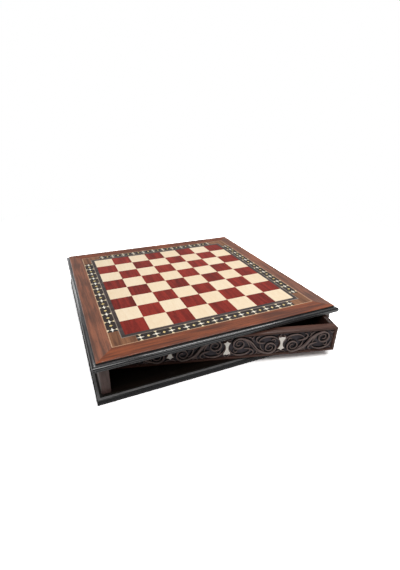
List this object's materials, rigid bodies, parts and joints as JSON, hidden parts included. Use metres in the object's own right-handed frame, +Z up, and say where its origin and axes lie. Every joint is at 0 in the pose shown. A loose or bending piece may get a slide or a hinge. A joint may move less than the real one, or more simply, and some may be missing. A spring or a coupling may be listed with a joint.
{
  "type": "chess box with swivelling drawers",
  "caption": "Square chess box: inlaid playing board on a moulded case, with a carved drawer swivelling on a vertical pivot in each of two opposite sides.",
  "frame": {"origin": "centre of the case's underside, in the plane it stands on", "axes": "+Z up; -Y towards the front, where the drawer is swung out; +X to the right"},
  "size_m": [0.48, 0.5229, 0.078],
  "materials": {
    "base_felt": "short wool felt",
    "black_lacquer": "black satin lacquer",
    "stained_wood": "dark stain, satin lacquer",
    "carcass_wood": "dark stain, thin lacquer",
    "walnut": "reddish walnut, gloss lacquer",
    "stringing": "light stringing under lacquer",
    "ebony": "ebonised, satin lacquer",
    "mosaic_ground": "dark ground under lacquer",
    "ivory_tile": "ivory-coloured tile under lacquer",
    "amber_tile": "amber-coloured tile under lacquer",
    "maple": "figured maple, gloss lacquer",
    "padauk": "red-stained wood, gloss lacquer",
    "brass": "turned",
    "steel": "plain",
    "carved_wood": "carved, dark stain, wax",
    "bone": "polished bone colour",
    "drawer_wood": "dark walnut, satin",
    "drawer_bottom": "thin board, unlacquered",
    "lining_felt": "thin felt",
    "glide_felt": "thin felt"
  },
  "bodies": {
    "case": {"base_felt": "base_felt", "base_panel": "carcass_wood", "base_moulding_front": "black_lacquer", "base_moulding_right": "black_lacquer", "base_moulding_back": "black_lacquer", "base_moulding_left": "black_lacquer", "post_front_left": "stained_wood", "post_front_right": "stained_wood", "post_back_right": "stained_wood", "post_back_left": "stained_wood", "side_panel_left": "stained_wood", "side_panel_right": "stained_wood", "centre_divider": "carcass_wood", "core_panel": "carcass_wood", "top_moulding_front": "black_lacquer", "top_moulding_right": "black_lacquer", "top_moulding_back": "black_lacquer", "top_moulding_left": "black_lacquer", "border_front": "walnut", "border_right": "walnut", "border_back": "walnut", "border_left": "walnut", "corner_blocks": "walnut", "outer_stringing": "stringing", "inner_stringing": "stringing", "ebony_strips": "ebony", "mosaic_front": "mosaic_ground", "mosaic_right": "mosaic_ground", "mosaic_back": "mosaic_ground", "mosaic_left": "mosaic_ground", "ivory_tiles": "ivory_tile", "amber_tiles": "amber_tile", "light_squares": "maple", "dark_squares": "padauk", "front_pivot_pin": "brass", "back_pivot_pin": "brass", "front_pivot_washer": "steel", "back_pivot_washer": "steel"},
    "front_drawer": {"front_drawer_face": "carved_wood", "front_drawer_inlays": "bone", "front_drawer_left_side": "drawer_wood", "front_drawer_right_side": "drawer_wood", "front_drawer_back": "drawer_wood", "front_drawer_bottom": "drawer_bottom", "front_drawer_lining": "lining_felt", "front_drawer_bush": "brass", "front_drawer_glides": "glide_felt"},
    "back_drawer": {"back_drawer_face": "carved_wood", "back_drawer_inlays": "bone", "back_drawer_left_side": "drawer_wood", "back_drawer_right_side": "drawer_wood", "back_drawer_back": "drawer_wood", "back_drawer_bottom": "drawer_bottom", "back_drawer_lining": "lining_felt", "back_drawer_bush": "brass", "back_drawer_glides": "glide_felt"}
  },
  "joints": [
    {"name": "front_drawer_swivel", "type": "hinge", "parent": "case", "child": "front_drawer", "pos_m": [0, -0.2065, 0.0136], "axis": [0, 0, 1], "range_deg": [0, 29.2]},
    {"name": "back_drawer_swivel", "type": "hinge", "parent": "case", "child": "back_drawer", "pos_m": [0, 0.2065, 0.0136], "axis": [0, 0, 1], "range_deg": [-14.6, 14.6]}
  ]
}
